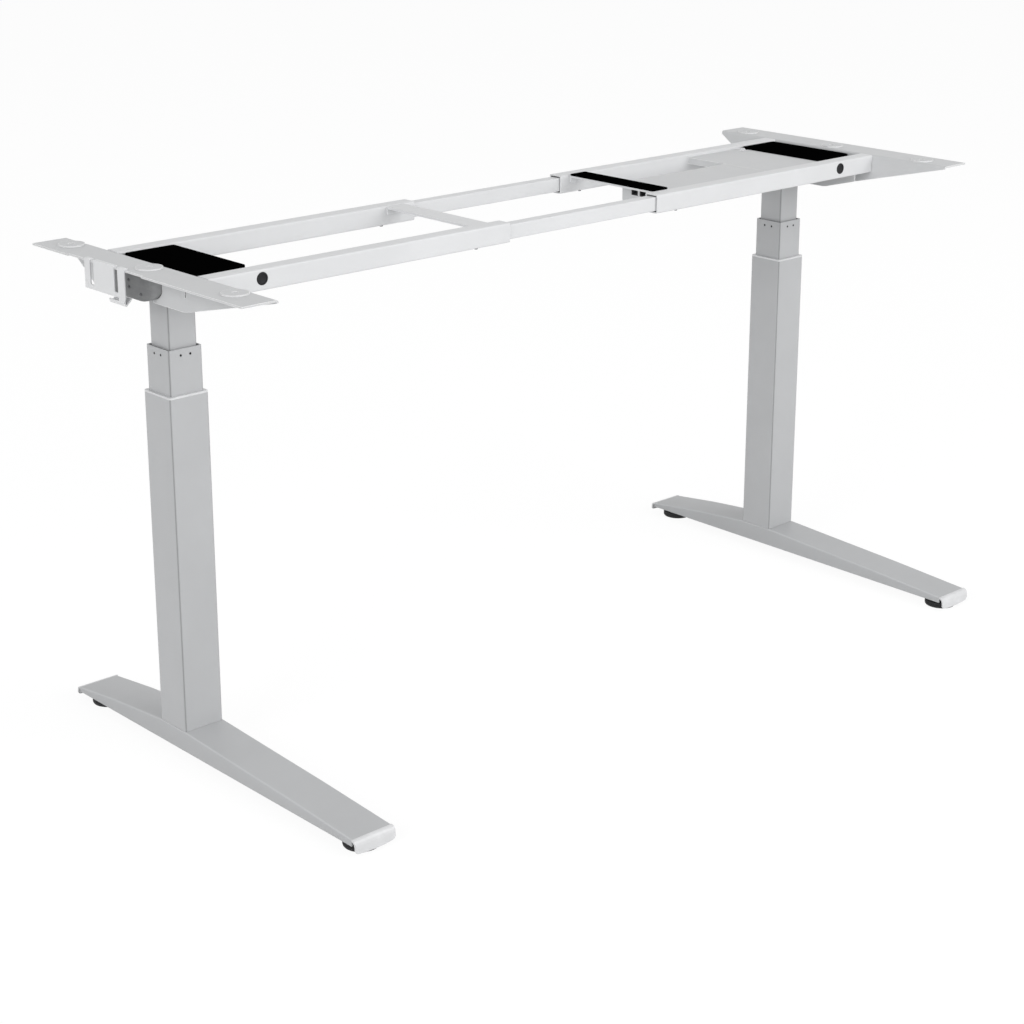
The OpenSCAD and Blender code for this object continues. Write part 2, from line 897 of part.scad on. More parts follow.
module outer_rail(side, y, way) {
    color(pale)
        at_side(side)
            difference() {
                rail_tube(rail_mouth_x, web_x - rail_end_gap, y, rail_z, rail_w, rail_h, rail_wall, rail_corner);
                translate([plug_x, y, rail_z + plug_rise])
                    rotate([-way * 90, 0, 0])
                        cylinder(h = rail_w / 2 + over, r = plug_hole_d / 2);
                translate([rail_mouth_x + clamp_screw_x + bush_len, y, rail_top - rail_h - over])
                    cylinder(h = rail_wall + 2 * over, r = clamp_screw_r + run_gap);
            }
}

// Round plugs in the outer faces of the rails
module plugs(side) {
    color(black)
        at_side(side)
            for (way = [-1, 1])
                translate([plug_x, way == -1 ? -front_rail_y - rail_w / 2 : rear_rail_y + rail_w / 2,
                        rail_z + plug_rise])
                    rotate([-way * 90, 0, 0]) {
                        cylinder(h = plug_lip, r = plug_hole_d / 2 + plug_lip_w);
                        translate([0, 0, -plug_depth])
                            cylinder(h = plug_depth, r = plug_hole_d / 2 - slip);
                    }
}

// Plastic bushes in the mouths of the outer rails
module rail_bushes(side) {
    bush_w = rail_w - 2 * rail_wall - 2 * slip;
    bush_h = rail_h - 2 * rail_wall - 2 * slip;
    color(dark)
        at_side(side)
            for (y = [-front_rail_y, rear_rail_y])
                translate([rail_mouth_x + bush_sink, y, rail_z])
                    rotate([90, 0, 90])
                        linear_extrude(bush_len)
                            difference() {
                                rounded_rect(bush_w, bush_h, rail_corner - rail_wall / 2);
                                rounded_rect(inner_rail_w + 2 * guide_gap, inner_rail_h + 2 * guide_gap,
                                    inner_rail_corner);
                            }
}

module inner_rail(y) {
    color(near_white)
        translate([0, column_y, 0])
            rail_tube(-inner_rail_len / 2, inner_rail_len / 2, y, rail_z,
                inner_rail_w, inner_rail_h, rail_wall, inner_rail_corner);
}

// Side view of the tab below the mount plate, which dips under the front rail
module tab_side_view() {
    top = tab_drop + gear_body_h + plate_t / 2;
    rail_under = rail_top - rail_h - inner_top + tab_drop - tab_rail_gap;
    polygon([
        [tab_back, top],
        [tab_back, tab_corner],
        [tab_back - tab_corner * 0.1, tab_corner * 0.56],
        [tab_back - tab_corner * 0.35, tab_corner * 0.24],
        [tab_back - tab_corner * 0.7, tab_corner * 0.05],
        [tab_back - tab_corner, 0],
        [-tab_heel + tab_rise / 2, 0],
        [-tab_heel, tab_rise * 0.06],
        [-tab_heel - tab_rise / 2, tab_rise * 0.2],
        [-tab_front, tab_rise],
        [-tab_front, rail_under],
        [rail_front_face + tab_rail_gap, rail_under],
        [rail_front_face + tab_rail_gap, top]
    ]);
}

// Plate that ties the rails and the gearbox, with a tab down the column's outer face
module mount_plate(side) {
    tab_x = column_x + inner_w / 2 + tab_gap;
    ear_x = column_x + plate_out - over;
    color(silver)
        at_side(side) {
            translate([column_x - plate_in, rail_front_face, plate_bottom])
                cube([plate_in + plate_out, rail_rear_face - rail_front_face, plate_t]);
            for (y = [[rail_front_face, -nose_front - ear_gap], [nose_back + ear_gap, rail_rear_face]])
                translate([ear_x, y[0], plate_bottom])
                    cube([web_x - rail_end_gap - ear_x, y[1] - y[0], plate_t]);
            difference() {
                translate([tab_x, 0, inner_top - tab_drop])
                    rotate([90, 0, 90])
                        linear_extrude(plate_t)
                            tab_side_view();
                translate([tab_x - over, -neck_front - tab_window_gap, inner_top])
                    cube([plate_t + 2 * over, neck_front + neck_back + 2 * tab_window_gap, gear_body_h]);
            }
        }
}

module pad(side) {
    color(black)
        at_side(side)
            translate([column_x - pad_in, -pad_front, pad_bottom])
                cube([pad_in + pad_out, pad_front + pad_back, pad_t]);
}

// Flat cross brace between the rails, with a tab down each rail
module brace(side) {
    color(silver)
        at_side(side)
            translate([brace_x, 0, rail_top - brace_sink]) {
                translate([0, rail_front_face, -brace_t])
                    cube([brace_w, rail_rear_face - rail_front_face, brace_t]);
                for (y = [rail_front_face, rail_rear_face - brace_t])
                    translate([0, y, -brace_t - brace_tab_h])
                        cube([brace_w, brace_t, brace_tab_h + over]);
            }
}

// Foam strip on the right-hand brace, turned down over the brace's inner edge
module foam_strip() {
    length = rail_rear_face - rail_front_face - 2 * strip_side;
    color(black)
        at_side(RIGHT)
            translate([brace_x, rail_front_face + strip_side, rail_top - brace_sink]) {
                translate([-strip_lip, 0, 0])
                    cube([brace_w + strip_lip - strip_side, length, strip_t]);
                translate([-strip_lip, 0, -brace_t])
                    cube([strip_lip, length, brace_t + over]);
            }
}

// Plate between the control box and the right-hand pad
module cover_plate() {
    x0 = box_end_x + box_gap;
    x1 = column_x - plate_in;
    depth = rail_rear_face - rail_front_face;
    color(silver)
        at_side(RIGHT)
            translate([x0, rail_front_face, lid_top - cover_t])
                difference() {
                    union() {
                        cube([x1 - x0, depth, cover_t]);
                        translate([0, 0, -cover_lip_h])
                            cube([cover_t, depth, cover_lip_h + over / 2]);
                        translate([x1 - x0 - cover_slot_in - cover_tab_w, depth - cover_slot_back, cover_t / 2])
                            cube([cover_tab_w, cover_t, cover_t / 2 + cover_tab_h]);
                    }
                    translate([x1 - x0 - cover_slot_in, depth - cover_slot_back, -over])
                        cube([cover_slot_w, cover_slot_d, cover_t + 2 * over]);
                }
}

// Distance from the box's rear face to a socket's near edge
function socket_y(i) = socket_first + i * (socket_w + socket_gap);

module control_box() {
    color(silver)
        at_side(RIGHT)
            translate([box_x, rail_front_face, box_top - box_h])
                difference() {
                    cube([box_len, box_depth, box_h]);
                    translate([box_wall, box_wall, box_wall])
                        cube([box_len - 2 * box_wall, box_depth - 2 * box_wall, box_h]);
                    for (i = [0, 1])
                        translate([-over, box_depth - socket_y(i) - socket_w, box_h - socket_drop - socket_h])
                            cube([box_wall + 2 * over, socket_w, socket_h]);
                    translate([-over, box_depth - socket_y(2) - light_step / 2, box_h - socket_drop - socket_h / 2])
                        rotate([0, 90, 0])
                            cylinder(h = box_wall + 2 * over, r = light_r + slip / 2);
                }
}

module control_lid() {
    color(silver)
        at_side(RIGHT)
            translate([box_x, rail_front_face, box_top])
                cube([box_len, box_depth, lid_t]);
}

// Two plug sockets and an indicator light in the end of the control box
module port_sockets() {
    color(black)
        at_side(RIGHT)
            translate([box_x, rail_front_face, box_top - box_h]) {
                for (i = [0, 1])
                    translate([0, box_depth - socket_y(i) - socket_w + slip, box_h - socket_drop - socket_h + slip])
                        difference() {
                            cube([socket_depth, socket_w - 2 * slip, socket_h - 2 * slip]);
                            translate([-over, socket_wall, socket_wall])
                                cube([socket_depth - socket_wall + over, socket_w - 2 * slip - 2 * socket_wall,
                                    socket_h - 2 * slip - 2 * socket_wall]);
                        }
                translate([0, box_depth - socket_y(2) - light_step / 2, box_h - socket_drop - socket_h / 2])
                    rotate([0, 90, 0])
                        cylinder(h = 2 * box_wall, r = light_r);
            }
}

// Sheet clip that hooks over the left bracket, with a tongue that holds cables
module cable_clip() {
    seat_x = web_x + flange_w - clip_seat_depth;
    y0 = clip_centre_y - clip_len / 2;
    color(near_white)
        at_side(LEFT)
            translate([seat_x, y0, flange_top - clip_h]) {
                difference() {
                    union() {
                        cube([clip_t, clip_len, clip_h + clip_t]);
                        translate([-clip_hook_in, 0, clip_h])
                            cube([clip_hook_in + clip_t / 2, clip_len, clip_t]);
                    }
                    for (i = [-1, 1])
                        translate([-clip_hook_in - over, clip_len / 2 + clip_slit_shift + i * clip_slit_step - clip_finger_gap / 2,
                                clip_slit_foot])
                            cube([clip_hook_in + clip_t + 2 * over, clip_finger_gap, clip_h + clip_t]);
                }
                rotate([90, 0, 0])
                    translate([0, 0, -tongue_neck_w])
                        linear_extrude(tongue_neck_w)
                            polygon([
                                [0, clip_t],
                                [tongue_lean, -tongue_neck_h - clip_t],
                                [tongue_lean + clip_t, -tongue_neck_h - clip_t],
                                [clip_t, clip_t]
                            ]);
                rotate([90, 0, 0])
                    translate([0, 0, -tongue_w])
                        linear_extrude(tongue_w)
                            polygon([
                                [tongue_lean, -tongue_neck_h],
                                [0, -tongue_neck_h - tongue_lip_h + clip_t],
                                [-tongue_back, tongue_rise - tongue_neck_h - tongue_lip_h],
                                [-tongue_back, tongue_rise - tongue_neck_h - tongue_lip_h - clip_t],
                                [0, -tongue_neck_h - tongue_lip_h - clip_t / 2],
                                [clip_t, -tongue_neck_h - tongue_lip_h],
                                [tongue_lean + clip_t, -tongue_neck_h]
                            ]);
            }
}

foot(LEFT);  // left_foot
foot_caps(LEFT);  // left_foot_caps
glide(LEFT, front_glide_y(), front_ceiling());  // left_front_glide
glide(LEFT, rear_glide_y(), rear_ceiling());  // left_rear_glide
outer_column(LEFT);  // left_outer_column
outer_collar(LEFT);  // left_outer_collar
column_bolts(LEFT);  // left_column_bolts
fixed_screw(LEFT);  // left_fixed_screw
mid_column(LEFT);  // left_mid_column
mid_liner(LEFT);  // left_mid_liner
mid_bearing(LEFT);  // left_mid_bearing
screw_tube(LEFT);  // left_screw_tube
inner_column(LEFT);  // left_inner_column
nut_block(LEFT);  // left_nut_block
drive_shaft(LEFT);  // left_drive_shaft
gearbox(LEFT);  // left_gearbox
motor(LEFT);  // left_motor
head_screws(LEFT);  // left_head_screws
side_bracket(LEFT);  // left_side_bracket
outer_rail(LEFT, -front_rail_y, -1);  // left_front_rail
outer_rail(LEFT, rear_rail_y, 1);  // left_rear_rail
mount_plate(LEFT);  // left_mount_plate
pad(LEFT);  // left_pad
brace(LEFT);  // left_brace
rail_bushes(LEFT);  // left_rail_bushes
plugs(LEFT);  // left_plugs
cable_clip();
inner_rail(-front_rail_y);  // front_inner_rail
inner_rail(rear_rail_y);  // rear_inner_rail
foot(RIGHT);  // right_foot
foot_caps(RIGHT);  // right_foot_caps
glide(RIGHT, front_glide_y(), front_ceiling());  // right_front_glide
glide(RIGHT, rear_glide_y(), rear_ceiling());  // right_rear_glide
outer_column(RIGHT);  // right_outer_column
outer_collar(RIGHT);  // right_outer_collar
column_bolts(RIGHT);  // right_column_bolts
fixed_screw(RIGHT);  // right_fixed_screw
mid_column(RIGHT);  // right_mid_column
mid_liner(RIGHT);  // right_mid_liner
mid_bearing(RIGHT);  // right_mid_bearing
screw_tube(RIGHT);  // right_screw_tube
inner_column(RIGHT);  // right_inner_column
nut_block(RIGHT);  // right_nut_block
drive_shaft(RIGHT);  // right_drive_shaft
gearbox(RIGHT);  // right_gearbox
motor(RIGHT);  // right_motor
head_screws(RIGHT);  // right_head_screws
side_bracket(RIGHT);  // right_side_bracket
outer_rail(RIGHT, -front_rail_y, -1);  // right_front_rail
outer_rail(RIGHT, rear_rail_y, 1);  // right_rear_rail
mount_plate(RIGHT);  // right_mount_plate
pad(RIGHT);  // right_pad
brace(RIGHT);  // right_brace
rail_bushes(RIGHT);  // right_rail_bushes
plugs(RIGHT);  // right_plugs
foam_strip();
cover_plate();
control_box();
control_lid();
port_sockets();
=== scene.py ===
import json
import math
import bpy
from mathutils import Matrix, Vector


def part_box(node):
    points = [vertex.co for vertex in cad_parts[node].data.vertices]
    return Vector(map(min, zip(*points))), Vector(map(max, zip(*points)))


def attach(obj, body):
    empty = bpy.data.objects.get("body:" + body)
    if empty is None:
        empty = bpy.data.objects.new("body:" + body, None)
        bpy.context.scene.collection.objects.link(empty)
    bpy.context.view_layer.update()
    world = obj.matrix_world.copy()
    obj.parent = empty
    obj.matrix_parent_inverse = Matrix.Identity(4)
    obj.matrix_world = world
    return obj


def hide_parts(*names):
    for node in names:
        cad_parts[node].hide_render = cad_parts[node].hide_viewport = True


bl_info = {
    "name": "Standing desk frame",
    "version": (1, 0, 0),
    "blender": (4, 5, 0),
    "location": "View3D > Sidebar > Desk frame",
    "description": "Dresses a height-adjustable desk frame: feet, foam, fasteners, finishes and a plain studio",
    "category": "Object",
}

import bmesh
import bpy
import numpy as np
from bpy.props import FloatProperty, FloatVectorProperty, PointerProperty
from bpy.types import Operator, Panel, PropertyGroup
from mathutils import Matrix

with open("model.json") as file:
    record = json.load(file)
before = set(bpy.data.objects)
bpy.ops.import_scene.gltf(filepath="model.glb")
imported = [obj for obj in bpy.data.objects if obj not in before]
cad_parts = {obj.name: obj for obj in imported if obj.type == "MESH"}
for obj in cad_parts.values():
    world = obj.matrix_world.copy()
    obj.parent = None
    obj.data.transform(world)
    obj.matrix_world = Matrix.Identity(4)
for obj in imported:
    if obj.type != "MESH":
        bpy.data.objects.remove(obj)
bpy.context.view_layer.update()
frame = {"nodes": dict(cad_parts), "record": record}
MM = 0.001
SIDES = ("left", "right")


def node_box(node):
    """Lowest and highest corners of a CAD node, as two arrays in metres."""
    low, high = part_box(node)
    return np.array(low), np.array(high)


COLUMN_Y = float(sum(node_box("left_outer_column")[i][1] for i in (0, 1)) / 2)
COLUMN_X = float(sum(node_box("right_outer_column")[i][0] for i in (0, 1)) / 2)
SIGN = {"left": -1.0, "right": 1.0}
COAT_ROUGHNESS = 0.2

# The foot: height of its skirt and of its upper line at the two tips, length of sheet over which each corner of
# the upper line is eased, and the half length of its level part under the column
FOOT_SKIRT = 18.0 * MM
FOOT_FRONT_TIP = 28.5 * MM
FOOT_REAR_TIP = 25.5 * MM
FOOT_EASE = 34 * MM
FOOT_LEVEL = 35 * MM

# Fasteners: distance of the gearbox cover's face from the column's axis, places of its screws on that face
# (along Y and up from the column's top), and distance of the rail clamp screws from the middle of the desk
COVER_FACE = 66.5 * MM
COVER_SCREWS = ((11, 29), (10, 18), (-21, 12))
CLAMP_SCREW_X = 228 * MM

# Floor: half its width, the strength of its plain white, and how much of that white is seen over its shadows
FLOOR_HALF = 14.0
FLOOR_WHITE = 1.02
FLOOR_SEEN = 0.9

# Camera: place before the move to the column's Y, turn in degrees, lens and shift
CAMERA_AT = (-2.4117, -2.6303, 1.4977)
CAMERA_YAW, CAMERA_PITCH, CAMERA_ROLL = 42.589, -17.404, 0.059
CAMERA_LENS = 75.163
CAMERA_SHIFT = (-0.0035, -0.0764)

# Lamps: place, point aimed at, size and watts
LAMPS = {
    "front_bank": ((1.8, -4.6, 2.5), (0.2, 0.0, 0.6), (3.8, 2.8), 112.0),
    "overhead": ((0.3, 0.4, 4.0), (0.0, 0.0, 0.0), (3.4, 2.4), 5.0),
    "left_bank": ((-6.4, -1.6, 3.0), (0.2, 0.0, 0.5), (3.8, 3.2), 150.0),
    "right_fill": ((-0.5, -2.0, 1.0), (0.9, 0.0, 0.7), (1.0, 1.0), 5.0),
}


# Shader expressions


class Field:
    """A shader value that takes Python's arithmetic: each operator adds one Math node."""

    def __init__(self, finish, socket):
        self.finish = finish
        self.socket = socket

    def _math(self, operation, *values):
        return self.finish.node("ShaderNodeMath", {"operation": operation}, dict(enumerate(values)))

    def __add__(self, other):
        return self._math("ADD", self, other)

    def __radd__(self, other):
        return self._math("ADD", other, self)

    def __sub__(self, other):
        return self._math("SUBTRACT", self, other)

    def __rsub__(self, other):
        return self._math("SUBTRACT", other, self)

    def __mul__(self, other):
        return self._math("MULTIPLY", self, other)

    def __abs__(self):
        return self._math("ABSOLUTE", self)

    def least(self, other):
        """The lesser of two values."""
        return self._math("MINIMUM", self, other)

    def most(self, other):
        """The greater of two values."""
        return self._math("MAXIMUM", self, other)

    def step(self, low, high):
        """0 below low and 1 above high, with a smooth rise between them."""
        return self.finish.node(
            "ShaderNodeMapRange",
            {"interpolation_type": "SMOOTHSTEP"},
            {"Value": self, "From Min": low, "From Max": high, "To Min": 0.0, "To Max": 1.0},
            "Result",
        )


class Finish:
    """One material, built from a Principled surface."""

    def __init__(self, name):
        self.material = bpy.data.materials.new(name)
        self.material.use_nodes = True
        self.tree = self.material.node_tree
        self.tree.nodes.clear()
        self.place = self.node("ShaderNodeTexCoord", output="Object")

    def node(self, kind, settings=None, inputs=None, output=0):
        """Adds a node: its settings first, then the values or links of its sockets."""
        made = self.tree.nodes.new(kind)
        for key, value in (settings or {}).items():
            setattr(made, key, value)
        for key, value in (inputs or {}).items():
            socket = made.inputs[key]
            if isinstance(value, Field):
                self.tree.links.new(value.socket, socket)
            else:
                socket.default_value = value
        return Field(self, made.outputs[output]) if len(made.outputs) else None

    def split(self, vector):
        """The three parts of a vector."""
        parts = self.node("ShaderNodeSeparateXYZ", inputs={"Vector": vector})
        return [Field(self, parts.socket.node.outputs[i]) for i in range(3)]

    def noise(self, scale, detail=2.0, roughness=0.5, stretch=(1.0, 1.0, 1.0)):
        """Noise on the piece's own coordinates, from 0 to 1, stretched along an axis if asked."""
        where = self.place
        if stretch != (1.0, 1.0, 1.0):
            where = self.node("ShaderNodeMapping", {"vector_type": "POINT"}, {"Vector": self.place, "Scale": stretch})
        return self.node(
            "ShaderNodeTexNoise",
            {"noise_dimensions": "3D"},
            {"Vector": where, "Scale": scale, "Detail": detail, "Roughness": roughness},
            "Fac",
        )

    def cells(self, scale, feature="F1"):
        """Distance from the middle of the nearest cell."""
        return self.node(
            "ShaderNodeTexVoronoi", {"feature": feature}, {"Vector": self.place, "Scale": scale}, "Distance")

    def blend(self, factor, a, b):
        """Colour a where factor is 0 and b where it is 1."""
        return self.node(
            "ShaderNodeMix",
            {"data_type": "RGBA", "blend_type": "MIX", "clamp_factor": True},
            {0: factor, 6: (*a, 1.0) if isinstance(a, tuple) else a, 7: (*b, 1.0) if isinstance(b, tuple) else b},
            2,
        )

    def soft_edges(self, radius):
        """Normal that rounds the edges of a solid by a small radius."""
        return self.node("ShaderNodeBevel", {"samples": 6}, {"Radius": radius}, "Normal")

    def near_edges(self, radius):
        """How close a point is to an edge of the solid, from 0 on a flat face to 1 at the edge: one less the
        product of the true normal and the normal rounded over a radius, stretched."""
        true = self.node("ShaderNodeNewGeometry", output="Normal")
        product = self.node(
            "ShaderNodeVectorMath", {"operation": "DOT_PRODUCT"}, {0: self.soft_edges(radius), 1: true}, "Value")
        return (1.0 - product).step(0.01, 0.2)

    def relief(self, height, distance, normal=None, strength=0.5):
        """Normal of a surface raised by up to a distance, on top of another normal if one is given."""
        inputs = {"Height": height, "Distance": distance, "Strength": strength}
        if normal is not None:
            inputs["Normal"] = normal
        return self.node("ShaderNodeBump", inputs=inputs, output="Normal")

    def done(self, colour, roughness, metallic=0.0, normal=None, specular=0.5, coat=0.0):
        """Joins the Principled surface to the material's output."""
        inputs = {
            "Base Color": colour,
            "Roughness": roughness,
            "Metallic": metallic,
            "Specular IOR Level": specular,
            "Coat Weight": coat,
            "Coat Roughness": COAT_ROUGHNESS,
        }
        if normal is not None:
            inputs["Normal"] = normal
        surface = self.node("ShaderNodeBsdfPrincipled", inputs=inputs)
        self.node("ShaderNodeOutputMaterial", inputs={"Surface": surface})
        return self.material


def tint(colour, k):
    """A colour made lighter or darker by one factor."""
    return tuple(min(1.0, c * k) for c in colour)


def powder_coat(name, colour, rough=0.42, edge=0.7 * MM, tube=None, rim=1.5 * MM, highlight_tint=1.32, bent=False):
    """Satin powder coat: fine orange peel, faint mottling, and painted light and shade along the edges.
    A painted highlight, a lighter line, follows each edge within a distance of rim. A bent piece has that painted
    highlight along its bend instead, where the upright part of the normal is between that of the side and that of
    the top, and painted shade on its upright sides. tube is half the width of a square column: a thin line of
    painted shade then runs up each of its corners, where the lesser of the distances from the axis along X and
    along Y comes close to that half width."""
    f = Finish(name)
    peel = f.noise(620.0, 3.0, 0.55)
    grit = f.noise(2600.0, 1.0, 0.5)
    cloud = f.noise(6.5, 3.0, 0.6)
    rub = f.noise(38.0, 4.0, 0.65)
    body = f.blend(cloud.step(0.3, 0.7), tint(colour, 0.975), tint(colour, 1.02))
    body = f.blend(rub.step(0.60, 0.78) * 0.25, body, tint(colour, 1.05))
    body = f.blend(grit.step(0.62, 0.75) * 0.35, body, tint(colour, 0.9))
    if tube:
        x, y, _ = f.split(f.place)
        beside = abs(abs(x) - COLUMN_X).least(abs(y - COLUMN_Y))
        # Painted shade: a thin darker line down each corner of the tube.
        body = f.blend(beside.step(tube - 3.0 * MM, tube - 0.9 * MM) * 0.7, body, tint(colour, 0.3))
    elif bent:
        # Painted highlight along the bend, and painted shade on the upright sides.
        upright = f.split(f.node("ShaderNodeNewGeometry", output="Normal"))[2]
        bend = upright.step(0.35, 0.6) * (1.0 - upright.step(0.94, 0.99))
        shade = 1.0 - abs(upright).step(0.02, 0.2)
        body = f.blend(shade * 0.5, body, tint(colour, 0.93))
        body = f.blend(bend, body, tint(colour, highlight_tint))
    else:
        # Painted highlight: a lighter line along each edge within rim.
        body = f.blend(f.near_edges(rim) * 0.9, body, tint(colour, highlight_tint))
    roughness = rough + (cloud - 0.5) * 0.06 + (rub - 0.5) * 0.08 + (peel - 0.5) * 0.05
    normal = f.relief(peel * 0.8 + grit * 0.2, 0.09 * MM, f.soft_edges(edge))
    return f.done(body, roughness, normal=normal)


def ground_steel(name, colour, stretch):
    """Turned or ground steel: fine streaks across the axis that is stretched, and a thin film of grease."""
    f = Finish(name)
    streak = f.noise(300.0, 3.0, 0.6, stretch)
    film = f.noise(22.0, 3.0, 0.6)
    body = f.blend(streak.step(0.3, 0.75), tint(colour, 0.85), tint(colour, 1.05))
    body = f.blend(film.step(0.55, 0.8) * 0.4, body, tint(colour, 0.7))
    roughness = 0.3 + (streak - 0.5) * 0.16 + film.step(0.5, 0.9) * 0.1
    normal = f.relief(streak, 0.03 * MM, f.soft_edges(0.4 * MM))
    return f.done(body, roughness, 1.0, normal)


def moulded_plastic(name, colour, rough=0.5, grain=900.0, edge=0.5 * MM, specular=0.5):
    """Moulded plastic with a fine spark-eroded grain and slightly rubbed high spots."""
    f = Finish(name)
    leather = f.cells(grain)
    fine = f.noise(grain * 2.2, 2.0, 0.5)
    rub = f.noise(30.0, 3.0, 0.6)
    body = f.blend(rub.step(0.45, 0.8), tint(colour, 0.94), tint(colour, 1.08))
    roughness = rough + (rub - 0.5) * 0.12 + (fine - 0.5) * 0.06
    normal = f.relief(leather * 0.7 + fine * 0.3, 0.06 * MM, f.soft_edges(edge))
    return f.done(body, roughness, normal=normal, specular=specular)


def cast_metal(name, colour):
    """Die-cast housing under thin grey paint: shallow flow marks and a pebbled skin."""
    f = Finish(name)
    skin = f.noise(420.0, 4.0, 0.6)
    flow = f.noise(45.0, 4.0, 0.65, (1.0, 1.0, 2.2))
    body = f.blend(flow.step(0.35, 0.7), tint(colour, 0.9), tint(colour, 1.08))
    body = f.blend(skin.step(0.6, 0.8) * 0.4, body, tint(colour, 0.75))
    roughness = 0.5 + (flow - 0.5) * 0.14 + (skin - 0.5) * 0.1
    normal = f.relief(skin * 0.6 + flow * 0.4, 0.12 * MM, f.soft_edges(1.6 * MM))
    return f.done(body, roughness, 0.1, normal)


def closed_foam(name, colour):
    """Closed-cell foam: a matt skin pitted by small cells, with a little lint."""
    f = Finish(name)
    cell = f.cells(1500.0)
    pit = f.cells(560.0, "SMOOTH_F1")
    lint = f.noise(240.0, 4.0, 0.7)
    body = f.blend(cell.step(0.2, 0.6), tint(colour, 0.7), tint(colour, 1.5))
    body = f.blend(lint.step(0.66, 0.8) * 0.25, body, tint(colour, 4.0))
    normal = f.relief(cell * 0.6 + pit * 0.4, 0.2 * MM)
    return f.done(body, 0.92 + (lint - 0.5) * 0.08, normal=normal, specular=0.0)


def soft_rubber(name, colour):
    """Matt rubber with a faint bloom."""
    f = Finish(name)
    grain = f.noise(700.0, 3.0, 0.6)
    bloom = f.noise(24.0, 3.0, 0.6)
    body = f.blend(bloom.step(0.4, 0.8), colour, tint(colour, 1.9))
    normal = f.relief(grain, 0.07 * MM)
    return f.done(body, 0.72 + (bloom - 0.5) * 0.14, normal=normal, specular=0.35)


def lamp_lens(name, colour):
    """Frosted lens of a small indicator light, unlit."""
    f = Finish(name)
    frost = f.noise(1400.0, 2.0, 0.5)
    body = f.blend(frost.step(0.3, 0.7), tint(colour, 0.9), tint(colour, 1.1))
    normal = f.relief(frost, 0.03 * MM, strength=0.4)
    return f.done(body, 0.28 + (frost - 0.5) * 0.12, normal=normal, coat=0.4)


# Surfaces


def grid_faces(rows, columns, wrap_columns=False):
    """Quads of a grid of rows by columns points, as one array; wrapped columns close on themselves."""
    r = np.arange(rows - 1)
    c = np.arange(columns if wrap_columns else columns - 1)
    i, j = np.meshgrid(r, c, indexing="ij")
    i2, j2 = i + 1, (j + 1) % columns
    return np.stack([i * columns + j, i * columns + j2, i2 * columns + j2, i2 * columns + j], axis=-1).reshape(-1, 4)


def surface(points, wrap_columns=False, cap_rows=False):
    """Vertices and faces of a grid of points. cap_rows closes the first and last rows with one face each."""
    rows, columns = points.shape[:2]
    faces = [list(map(int, f)) for f in grid_faces(rows, columns, wrap_columns)]
    if cap_rows:
        faces.append(list(range(columns))[::-1])
        faces.append([(rows - 1) * columns + j for j in range(columns)])
    return points.reshape(-1, 3), faces


def lathe(profile, centre, segments, turn=None):
    """Turns a profile of (radius, height) rows about an axis: point = (r cos a, r sin a, h), then turned and moved.
    A radius of nothing at either end closes the piece."""
    profile = np.asarray(profile, float)
    a = np.linspace(0.0, 2.0 * math.pi, segments, endpoint=False)
    r, h = profile[:, 0][:, None], profile[:, 1][:, None]
    points = np.stack([r * np.cos(a), r * np.sin(a), h + 0.0 * a], axis=-1)
    if turn is not None:
        points = points @ np.asarray(turn, float).T
    return surface(points + np.asarray(centre, float), wrap_columns=True)


def facing(axis):
    """Rotation that takes +Z to an axis, written as three rows."""
    z = np.asarray(axis, float) / np.linalg.norm(axis)
    x = np.cross((0.0, 0.0, 1.0) if abs(z[2]) < 0.9 else (1.0, 0.0, 0.0), z)
    x /= np.linalg.norm(x)
    return np.stack([x, np.cross(z, x), z], axis=1)


def rounded_loop(w, h, r, steps):
    """Points round a rectangle with round corners, counter-clockwise, as (across, up) rows.
    Each corner is a quarter turn: centre + r (cos t, sin t)."""
    t = np.linspace(0.0, math.pi / 2, steps + 1)
    parts = []
    for k, (sx, sy) in enumerate(((1, 1), (-1, 1), (-1, -1), (1, -1))):
        a = t + k * math.pi / 2
        parts.append(np.stack([sx * (w / 2 - r) + r * np.cos(a), sy * (h / 2 - r) + r * np.sin(a)], axis=-1))
    return np.concatenate(parts)


def pillow(low, high, corner, round_edge, steps=14):
    """Closed pad between two corners: its plan is a rectangle with round corners, and its edge rolls over in a
    quarter turn at the bottom, inset r (1 - sin t) at height r (1 - cos t), and the same at the top. Rows run
    from the middle of the underside, out, up and back in to the middle of the top."""
    low, high = np.asarray(low, float), np.asarray(high, float)
    size, centre = high - low, (high + low) / 2
    plan = rounded_loop(size[0], size[1], corner, 10)
    plan /= np.array([size[0] / 2, size[1] / 2])
    t = np.linspace(0.0, math.pi / 2, steps)
    inner = np.linspace(0.02, 1.0, 20)
    rows = [(k, 0.0, low[2]) for k in inner[:-1]]
    rows += [(1.0, round_edge * (1 - math.sin(v)), low[2] + round_edge * (1 - math.cos(v))) for v in t]
    rows += [(1.0, round_edge * (1 - math.cos(v)), high[2] - round_edge * (1 - math.sin(v))) for v in t]
    rows += [(k, 0.0, high[2]) for k in inner[:-1][::-1]]
    k = np.array([row[0] for row in rows])[:, None, None]
    inset = np.array([row[1] for row in rows])[:, None]
    z = np.array([row[2] for row in rows])[:, None]
    half = np.stack([size[0] / 2 - inset, size[1] / 2 - inset], axis=-1)
    edge = np.array([size[0] / 2 - round_edge, size[1] / 2 - round_edge])
    xy = plan[None] * np.where(k < 1.0, edge * k, half)
    points = np.concatenate([xy + centre[:2], (z + 0.0 * xy[..., 0])[..., None]], axis=-1)
    return surface(points, wrap_columns=True, cap_rows=True)


def joined(parts):
    """One mesh from several (vertices, faces) pairs."""
    vertices, faces, start = [], [], 0
    for v, f in parts:
        vertices.append(np.asarray(v))
        faces += [[i + start for i in face] for face in f]
        start += len(v)
    return np.concatenate(vertices), faces


